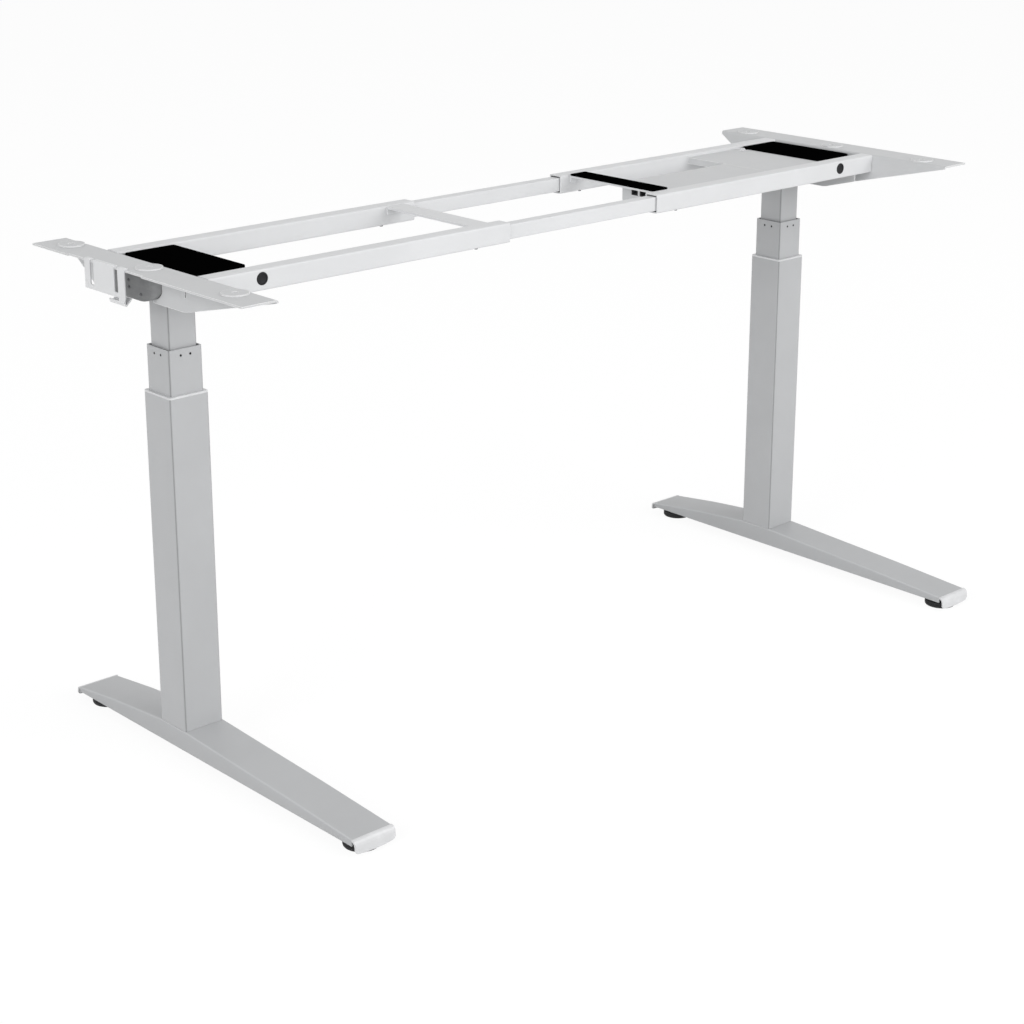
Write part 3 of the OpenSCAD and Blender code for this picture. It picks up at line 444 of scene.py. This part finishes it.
def piece(name, mesh_data, material, body, replaces, smooth):
    """Makes an object at the origin from vertices and faces, points its faces outwards, and lets it ride on a
    body in place of the CAD nodes it replaces. Edges sharper than smooth, in degrees, stay sharp."""
    vertices, faces = mesh_data
    mesh = bpy.data.meshes.new(name)
    mesh.from_pydata(np.asarray(vertices).tolist(), [], faces)
    work = bmesh.new()
    work.from_mesh(mesh)
    bmesh.ops.remove_doubles(work, verts=work.verts, dist=1e-6)
    bmesh.ops.recalc_face_normals(work, faces=work.faces)
    work.to_mesh(mesh)
    work.free()
    mesh.materials.append(material)
    thing = bpy.data.objects.new(name, mesh)
    bpy.context.scene.collection.objects.link(thing)
    mesh.shade_smooth()
    mesh.set_sharp_from_angle(angle=math.radians(smooth))
    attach(thing, body)
    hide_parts(*replaces)
    return thing


# Settings


class DeskFinish(PropertyGroup):
    silver: FloatVectorProperty(
        name="Columns and feet", description="Powder coat of the columns and feet", subtype="COLOR",
        default=(0.490, 0.497, 0.506), min=0.0, max=1.0)
    light: FloatVectorProperty(
        name="Rails", description="Powder coat of the sliding rails and their braces", subtype="COLOR",
        default=(0.705, 0.712, 0.722), min=0.0, max=1.0)
    bracket: FloatVectorProperty(
        name="Brackets", description="Powder coat of the brackets and the box", subtype="COLOR",
        default=(0.590, 0.598, 0.606), min=0.0, max=1.0)
    bright: FloatVectorProperty(
        name="Cable clip", description="Powder coat of the cable clip", subtype="COLOR",
        default=(0.735, 0.742, 0.752), min=0.0, max=1.0)
    cap: FloatVectorProperty(
        name="Caps and collars", description="Plastic of the foot caps and the column collars", subtype="COLOR",
        default=(0.735, 0.74, 0.75), min=0.0, max=1.0)
    casting: FloatVectorProperty(
        name="Gearbox", description="Paint of the gearbox housing", subtype="COLOR",
        default=(0.245, 0.249, 0.253), min=0.0, max=1.0)
    dark: FloatVectorProperty(
        name="Dark plastic", description="Plugs, bushes and guides", subtype="COLOR",
        default=(0.014, 0.014, 0.016), min=0.0, max=1.0)
    foam: FloatVectorProperty(
        name="Foam", description="Foam pads and strip", subtype="COLOR",
        default=(0.0008, 0.0008, 0.0008), min=0.0, max=1.0)


class DeskSizes(PropertyGroup):
    foot_bend: FloatProperty(
        name="Foot bend", description="Radius of the bend along the foot's upper edges", default=3.2 * MM,
        min=1.0 * MM, max=10.0 * MM, subtype="DISTANCE", unit="LENGTH")
    foot_sheet: FloatProperty(
        name="Foot sheet", description="Thickness of the foot's sheet steel", default=3.0 * MM,
        min=1.0 * MM, max=5.0 * MM, subtype="DISTANCE", unit="LENGTH")
    pad_corner: FloatProperty(
        name="Pad corner", description="Corner radius of the foam pads", default=3.0 * MM,
        min=0.5 * MM, max=12.0 * MM, subtype="DISTANCE", unit="LENGTH")
    pad_edge: FloatProperty(
        name="Pad edge", description="Radius of the foam pads' rolled edge", default=1.6 * MM,
        min=0.4 * MM, max=2.4 * MM, subtype="DISTANCE", unit="LENGTH")
    strip_sheet: FloatProperty(
        name="Strip thickness", description="Thickness of the foam strip on the right brace", default=3.4 * MM,
        min=2.0 * MM, max=6.0 * MM, subtype="DISTANCE", unit="LENGTH")
    lamp_level: FloatProperty(
        name="Lamps", description="Level of the studio lamps", default=1.0, min=0.0, max=3.0)
    sky_level: FloatProperty(
        name="Surround", description="Level of the white surround", default=0.52, min=0.0, max=2.0)


FINISHES = {}


def finish(name):
    """A finished material by name."""
    return FINISHES[name]


# Pieces


def node_finish(node, slots):
    """Name of the finish of a CAD node: that of its slot, but columns, braces and sockets have their own."""
    if node.endswith("_column"):
        return f"{node.split('_')[1]}_coat"
    if node.endswith("_brace"):
        return "light_paint"
    if node == "port_sockets":
        return "socket_plastic"
    return slots.get(node, "silver_paint")


class DESK_OT_finishes(Operator):
    """Makes the finishes and gives each CAD node its own"""

    bl_idname = "desk.finishes"
    bl_label = "Finishes"

    def execute(self, context):
        s = context.scene.desk_finish
        FINISHES.update(
            silver_paint=powder_coat("silver_paint", tuple(s.silver)),
            light_paint=powder_coat("light_paint", tuple(s.light), 0.38),
            white_steel=powder_coat("white_steel", tuple(s.bright), 0.36, 1.2 * MM),
            # The feet carry a painted highlight along their bends and painted shade on their sides.
            foot_coat=powder_coat("foot_coat", tuple(s.silver), highlight_tint=1.14, bent=True),
            # Wider, brighter painted highlight along the bracket's edges and round the rims of its bosses.
            bracket_paint=powder_coat("bracket_paint", tuple(s.bracket), 0.4, rim=2.4 * MM, highlight_tint=1.7),
            light_plastic=moulded_plastic("light_plastic", tuple(s.cap), 0.42, 1100.0, 0.3 * MM),
            dark_plastic=moulded_plastic("dark_plastic", tuple(s.dark), 0.5, 900.0, specular=0.2),
            socket_plastic=moulded_plastic("socket_plastic", (0.07, 0.07, 0.074), 0.5, 900.0, specular=0.3),
            bright_steel=ground_steel("bright_steel", (0.62, 0.62, 0.63), (1.0, 1.0, 26.0)),
            zinc_screw=ground_steel("zinc_screw", (0.20, 0.20, 0.21), (26.0, 1.0, 1.0)),
            cast_metal=cast_metal("cast_metal", tuple(s.casting)),
            motor_can=powder_coat("motor_can", (0.09, 0.09, 0.095), 0.35, 0.8 * MM),
            black_foam=closed_foam("black_foam", tuple(s.foam)),
            glide_rubber=soft_rubber("glide_rubber", (0.02, 0.02, 0.021)),
            lamp_lens=lamp_lens("lamp_lens", (0.12, 0.13, 0.12)),
        )
        slots = {row["node"]: row["material_slot"] for row in frame["record"]["subparts"]}
        for stage in ("outer", "mid", "inner"):
            low, high = node_box(f"left_{stage}_column")
            # Each column coat carries a thin line of painted shade down the corners of its tube.
            FINISHES[f"{stage}_coat"] = powder_coat(
                f"{stage}_coat", tuple(s.silver), tube=float(high[0] - low[0]) / 2)
        for node, thing in frame["nodes"].items():
            material = finish(node_finish(node, slots))
            if not thing.data.materials:
                thing.data.materials.append(material)
            for i in range(len(thing.data.materials)):
                thing.data.materials[i] = material
        return {"FINISHED"}


def smooth_rise(y, knots, width):
    """Heights along y through knots, with each corner eased over a width.
    It is the straight-line profile, averaged by a raised-cosine window of that width."""
    ys, zs = np.array(knots, float).T
    window = np.linspace(-1.0, 1.0, 41)
    weight = 1.0 + np.cos(math.pi * window)
    weight /= weight.sum()
    at = y[:, None] + window[None] * width / 2
    slope0 = (zs[1] - zs[0]) / (ys[1] - ys[0])
    slope1 = (zs[-1] - zs[-2]) / (ys[-1] - ys[-2])
    z = np.interp(at, ys, zs)
    z = np.where(at < ys[0], zs[0] + (at - ys[0]) * slope0, z)
    z = np.where(at > ys[-1], zs[-1] + (at - ys[-1]) * slope1, z)
    return z @ weight


def foot_shell(side, bend, sheet):
    """Folded channel: each cross-section at y is an upside-down U, skirt up, round the bend, over the top and
    down again, then back inside it by the sheet's thickness. Its height follows the eased profile of the foot."""
    low, high = node_box(f"{side}_foot")
    x0 = SIGN[side] * COLUMN_X
    half = (high[0] - low[0]) / 2
    top = high[2]
    front, rear = low[1] - COLUMN_Y, high[1] - COLUMN_Y
    fall, rear_fall = top - FOOT_FRONT_TIP, top - FOOT_REAR_TIP
    knots = [
        (front, FOOT_FRONT_TIP), (front * 0.66, top - fall * 0.58), (front * 0.3, top - fall * 0.23),
        (-FOOT_LEVEL, top), (FOOT_LEVEL, top), (rear * 0.62, top - rear_fall * 0.49), (rear, FOOT_REAR_TIP)]
    y = np.concatenate([
        np.linspace(front, -150 * MM, 40), np.linspace(-148 * MM, 60 * MM, 70), np.linspace(64 * MM, rear, 34)])
    z = np.minimum(smooth_rise(y, knots, FOOT_EASE), top)
    t = np.linspace(0.0, math.pi / 2, 8)

    rings = []
    for inset, order in ((0.0, 1), (sheet, -1)):
        r = max(bend - inset, 0.4 * MM)
        w = half - inset
        x = np.concatenate([[-w], -w + r - r * np.cos(t), w - r + r * np.sin(t), [w]])
        up = np.concatenate([[0.0], r * np.sin(t) - r, r * np.cos(t) - r, [0.0]])
        height = z[:, None] - inset + up[None]
        height[:, [0, -1]] = FOOT_SKIRT
        ring = np.stack([x[None] + 0 * height, y[:, None] + 0 * height, height], axis=-1)
        rings.append(ring[:, ::order])
    points = np.concatenate(rings, axis=1) + np.array([x0, COLUMN_Y, 0.0])
    vertices, faces = surface(points, wrap_columns=True)
    n = points.shape[1]
    ends = []
    for row, flip in ((0, False), (len(y) - 1, True)):
        for j in range(n // 2 - 1):
            face = [row * n + j, row * n + j + 1, row * n + n - 2 - j, row * n + n - 1 - j]
            ends.append(face[::-1] if flip else face)
    return vertices, faces + ends


class DESK_OT_feet(Operator):
    """Builds the two folded feet with their eased upper line and rounded bends"""

    bl_idname = "desk.feet"
    bl_label = "Feet"

    def execute(self, context):
        s = context.scene.desk_sizes
        for side in SIDES:
            x0 = SIGN[side] * COLUMN_X
            parts = [foot_shell(side, s.foot_bend, s.foot_sheet)]
            for end in ("front", "rear"):
                low, high = node_box(f"{side}_{end}_glide")
                y, top = (low[1] + high[1]) / 2, high[2]
                profile = [(4.1, 13.5), (8.0, 13.5), (8.0, top / MM + 2.6), (4.1, top / MM + 2.6), (4.1, 13.5)]
                parts.append(lathe(np.array(profile) * MM, (x0, y, 0.0), 40))
            piece(f"{side}_foot_channel", joined(parts), finish("foot_coat"), f"{side}_base",
                  [f"{side}_foot"], 40.0)
        return {"FINISHED"}


class DESK_OT_glides(Operator):
    """Turns the four levelling glides, with a grip ring and a dished sole"""

    bl_idname = "desk.glides"
    bl_label = "Glides"

    def execute(self, context):
        for side in SIDES:
            for end in ("front", "rear"):
                node = f"{side}_{end}_glide"
                low, high = node_box(node)
                r = (high[0] - low[0]) / 2
                x, y = (low[0] + high[0]) / 2, (low[1] + high[1]) / 2
                top = high[2]
                profile = [
                    (0.0, 0.5), (r / MM - 10, 0.5), (r / MM - 8, 0.0), (r / MM - 2.4, 0.0), (r / MM - 1.2, 0.5),
                    (r / MM - 0.5, 1.4), (r / MM, 2.8), (r / MM, 5.6), (r / MM - 0.7, 6.0), (r / MM - 0.7, 6.6),
                    (r / MM, 7.0), (r / MM, 9.2), (r / MM - 0.6, 10.3), (r / MM - 1.8, 11.0), (14.0, 11.0),
                    (13.0, 10.6), (7.5, 10.6), (6.5, 11.0), (4.0, 11.0), (4.0, top / MM - 0.8), (3.2, top / MM),
                    (0.0, top / MM)]
                piece(f"{node}_disc", lathe(np.array(profile) * MM, (x, y, 0.0), 96),
                      finish("glide_rubber"), node, [node], 30.0)
        return {"FINISHED"}


class DESK_OT_foam(Operator):
    """Lays the two foam pads and the foam strip"""

    bl_idname = "desk.foam"
    bl_label = "Foam"

    def execute(self, context):
        s = context.scene.desk_sizes
        for node, body in (("left_pad", "left_head"), ("right_pad", "right_head"), ("foam_strip", "right_head")):
            low, high = node_box(node)
            if node == "foam_strip":
                low[2] = high[2] - s.strip_sheet
            edge = min(s.pad_edge, (high[2] - low[2]) * 0.45)
            made = piece(f"{node}_sheet", pillow(low, high, s.pad_corner, edge), finish("black_foam"), body,
                         [node], 60.0)
        return {"FINISHED"}


def screw_head(r, h, centre, axis, recess=0.55, depth=0.6):
    """Pan head with a hexagonal socket: a dome of radius r (1 - 0.34 v^2) at height h (1 - (1 - v)^2), then a well.
    The well's radius is multiplied by cos(pi/6) / cos(a mod pi/3 - pi/6), the outline of a hexagon."""
    t = np.linspace(0.0, 1.0, 8)
    outer = [(r, 0.0)] + [(r * (1 - 0.34 * v * v), h * (1 - (1 - v) ** 2)) for v in t[1:]]
    rim = r * recess
    well = [(rim, h), (rim * 0.96, h * (1 - depth)), (0.0, h * (1 - depth) - h * 0.05)]
    profile = np.array([(0.0, 0.0)] + outer + well)
    a = np.linspace(0.0, 2 * math.pi, 72, endpoint=False)
    radius = profile[:, 0][:, None] * np.ones_like(a)
    inside = np.arange(len(profile))[:, None] >= len(profile) - 3
    six = np.cos(math.pi / 6) / np.cos((a % (math.pi / 3)) - math.pi / 6)
    radius = np.where(inside, radius * six, radius)
    z = profile[:, 1][:, None] + 0 * radius
    points = np.stack([radius * np.cos(a), radius * np.sin(a), z], axis=-1)
    points = points @ facing(axis).T + np.asarray(centre, float)
    return surface(points, wrap_columns=True)


class DESK_OT_fasteners(Operator):
    """Sets the gearbox cover screws and the rail clamp screws"""

    bl_idname = "desk.fasteners"
    bl_label = "Fasteners"

    def execute(self, context):
        for side in SIDES:
            sx = SIGN[side]
            face = sx * (COLUMN_X + COVER_FACE)
            base_z = node_box(f"{side}_inner_column")[1][2]
            parts = []
            for y, z in COVER_SCREWS:
                parts.append(screw_head(2.5 * MM, 1.4 * MM, (face, COLUMN_Y + y * MM, base_z + z * MM), (sx, 0, 0)))
            for rail in ("front", "rear"):
                a, b = node_box(f"{side}_{rail}_rail")
                y = (a[1] + b[1]) / 2
                shank = [(0.0, 2.0), (3.0, 2.0), (3.0, -3.4), (2.6, -4.0), (1.6, -4.0), (1.5, -1.0), (0.0, -0.9)]
                parts.append(lathe(np.array(shank) * MM, (sx * CLAMP_SCREW_X, y, a[2]), 48))
            piece(f"{side}_screw_heads", joined(parts), finish("zinc_screw"), f"{side}_head",
                  [f"{side}_head_screws"], 32.0)
        return {"FINISHED"}


class DESK_OT_plugs(Operator):
    """Presses the round plugs into the rails, with a dished face and a thin rim"""

    bl_idname = "desk.plugs"
    bl_label = "Rail plugs"

    def execute(self, context):
        for side in SIDES:
            low, high = node_box(f"{side}_plugs")
            x = (low[0] + high[0]) / 2
            z = (low[2] + high[2]) / 2
            r = (high[0] - low[0]) / 2 / MM
            parts = []
            for y, way in ((low[1], -1), (high[1], 1)):
                profile = [
                    (0.0, -1.6), (r - 3.4, -1.5), (r - 2.6, -1.0), (r - 2.2, -0.15), (r - 1.5, 0.0), (r - 0.6, -0.12),
                    (r - 0.1, -0.5), (r, -1.0), (r - 1.2, -1.0), (r - 1.2, -5.6), (r - 1.8, -6.0), (0.0, -6.0)]
                parts.append(lathe(np.array(profile) * MM, (x, y, z), 72, facing((0, way, 0))))
            piece(f"{side}_rail_plugs", joined(parts), finish("dark_plastic"), f"{side}_head",
                  [f"{side}_plugs"], 32.0)
        return {"FINISHED"}


# Stage


def placed(turn, at):
    """Matrix of a rotation, given as three rows, and a place."""
    return Matrix([[*map(float, turn[i]), at[i]] for i in range(3)] + [[0, 0, 0, 1]])


def set_surround(scene, level):
    """White surround: plain white where it is seen, mirrored or looked at through a piece, and a light of the
    given level for the rest."""
    world = bpy.data.worlds.new("surround")
    scene.world = world
    world.use_nodes = True
    tree = world.node_tree
    tree.nodes.clear()
    out = tree.nodes.new("ShaderNodeOutputWorld")
    mix = tree.nodes.new("ShaderNodeMixShader")
    for slot, strength in ((1, level), (2, 1.0)):
        background = tree.nodes.new("ShaderNodeBackground")
        background.inputs["Color"].default_value = (1.0, 1.0, 1.0, 1.0)
        background.inputs["Strength"].default_value = strength
        tree.links.new(background.outputs[0], mix.inputs[slot])
    path = tree.nodes.new("ShaderNodeLightPath")
    seen = path.outputs["Is Camera Ray"]
    for ray in ("Is Transmission Ray", "Is Glossy Ray"):
        either = tree.nodes.new("ShaderNodeMath")
        either.operation = "MAXIMUM"
        tree.links.new(seen, either.inputs[0])
        tree.links.new(path.outputs[ray], either.inputs[1])
        seen = either.outputs[0]
    tree.links.new(seen, mix.inputs[0])
    tree.links.new(mix.outputs[0], out.inputs[0])


def set_camera(scene):
    """Camera of the photograph's view. Its axes are right, up and back, from the yaw, the pitch and the roll."""
    yaw, pitch, roll = (math.radians(angle) for angle in (CAMERA_YAW, CAMERA_PITCH, CAMERA_ROLL))
    ahead = np.array([math.sin(yaw) * math.cos(pitch), math.cos(yaw) * math.cos(pitch), math.sin(pitch)])
    right = np.array([math.cos(yaw), -math.sin(yaw), 0.0])
    up = np.cross(right, ahead)
    right, up = (right * math.cos(roll) + up * math.sin(roll), up * math.cos(roll) - right * math.sin(roll))
    camera = bpy.data.cameras.new("camera")
    camera.sensor_fit = "HORIZONTAL"
    camera.sensor_width = 36.0
    camera.lens = CAMERA_LENS
    camera.shift_x, camera.shift_y = CAMERA_SHIFT
    camera.clip_end = 60.0
    eye = bpy.data.objects.new("camera", camera)
    x, y, z = CAMERA_AT
    eye.matrix_world = placed(np.stack([right, up, -ahead], axis=1), (x, y + COLUMN_Y, z))
    scene.collection.objects.link(eye)
    scene.camera = eye


class DESK_OT_stage(Operator):
    """Sets the floor, the surround, the lamps and the camera"""

    bl_idname = "desk.stage"
    bl_label = "Stage"

    def execute(self, context):
        scene = context.scene
        s = scene.desk_sizes
        scene.view_settings.view_transform = "Standard"

        f = Finish("pale_floor")
        grain = f.noise(3.0, 2.0, 0.5)
        matt = f.node("ShaderNodeBsdfDiffuse", inputs={
            "Color": f.blend(grain, (0.90, 0.90, 0.90), (0.92, 0.92, 0.92)), "Roughness": 1.0})
        plain = f.node("ShaderNodeEmission", inputs={"Color": (1.0, 1.0, 1.0, 1.0), "Strength": FLOOR_WHITE})
        ray = f.node("ShaderNodeLightPath", output="Is Camera Ray")
        rays = ray.socket.node.outputs
        seen = ray.most(Field(f, rays["Is Glossy Ray"])).most(Field(f, rays["Is Transmission Ray"])) * FLOOR_SEEN
        mixed = f.node("ShaderNodeMixShader", inputs={0: seen, 1: matt, 2: plain})
        f.node("ShaderNodeOutputMaterial", inputs={"Surface": mixed})

        u = np.linspace(-FLOOR_HALF, FLOOR_HALF, 9)
        x, y = np.meshgrid(u, u, indexing="ij")
        vertices, faces = surface(np.stack([x, y, 0 * x], axis=-1))
        mesh = bpy.data.meshes.new("floor")
        mesh.from_pydata(vertices.tolist(), [], [face[::-1] for face in faces])
        mesh.materials.append(f.material)
        floor = bpy.data.objects.new("floor", mesh)
        scene.collection.objects.link(floor)

        set_surround(scene, s.sky_level)
        for name, (at, to, size, power) in LAMPS.items():
            lamp = bpy.data.lights.new(name, "AREA")
            lamp.shape = "RECTANGLE"
            lamp.size, lamp.size_y = size
            lamp.energy = power * s.lamp_level
            thing = bpy.data.objects.new(name, lamp)
            scene.collection.objects.link(thing)
            thing.matrix_world = placed(facing(np.array(at) - np.array(to)), at)
        set_camera(scene)
        return {"FINISHED"}


class DESK_PT_panel(Panel):
    """Lists the pieces and the settings in the sidebar"""

    bl_idname = "DESK_PT_panel"
    bl_label = "Desk frame"
    bl_space_type = "VIEW_3D"
    bl_region_type = "UI"
    bl_category = "Desk frame"

    def draw(self, context):
        layout = self.layout
        for group in (context.scene.desk_finish, context.scene.desk_sizes):
            box = layout.box()
            for key in group.bl_rna.properties.keys():
                if key not in ("rna_type", "name"):
                    box.prop(group, key)
        for operator in OPERATORS:
            layout.operator(operator.bl_idname)


OPERATORS = (
    DESK_OT_stage, DESK_OT_finishes, DESK_OT_feet, DESK_OT_glides, DESK_OT_foam, DESK_OT_fasteners, DESK_OT_plugs)
CLASSES = (DeskFinish, DeskSizes, *OPERATORS, DESK_PT_panel)


def register():
    for item in CLASSES:
        bpy.utils.register_class(item)
    bpy.types.Scene.desk_finish = PointerProperty(type=DeskFinish)
    bpy.types.Scene.desk_sizes = PointerProperty(type=DeskSizes)


def unregister():
    del bpy.types.Scene.desk_sizes
    del bpy.types.Scene.desk_finish
    for item in reversed(CLASSES):
        bpy.utils.unregister_class(item)


def main():
    """Runs every operator in order."""
    register()
    for operator in OPERATORS:
        group, name = operator.bl_idname.split(".")
        result = getattr(getattr(bpy.ops, group), name)()
        if result != {"FINISHED"}:
            raise RuntimeError(f"{operator.bl_idname} did not finish")


if __name__ == "__main__":
    main()
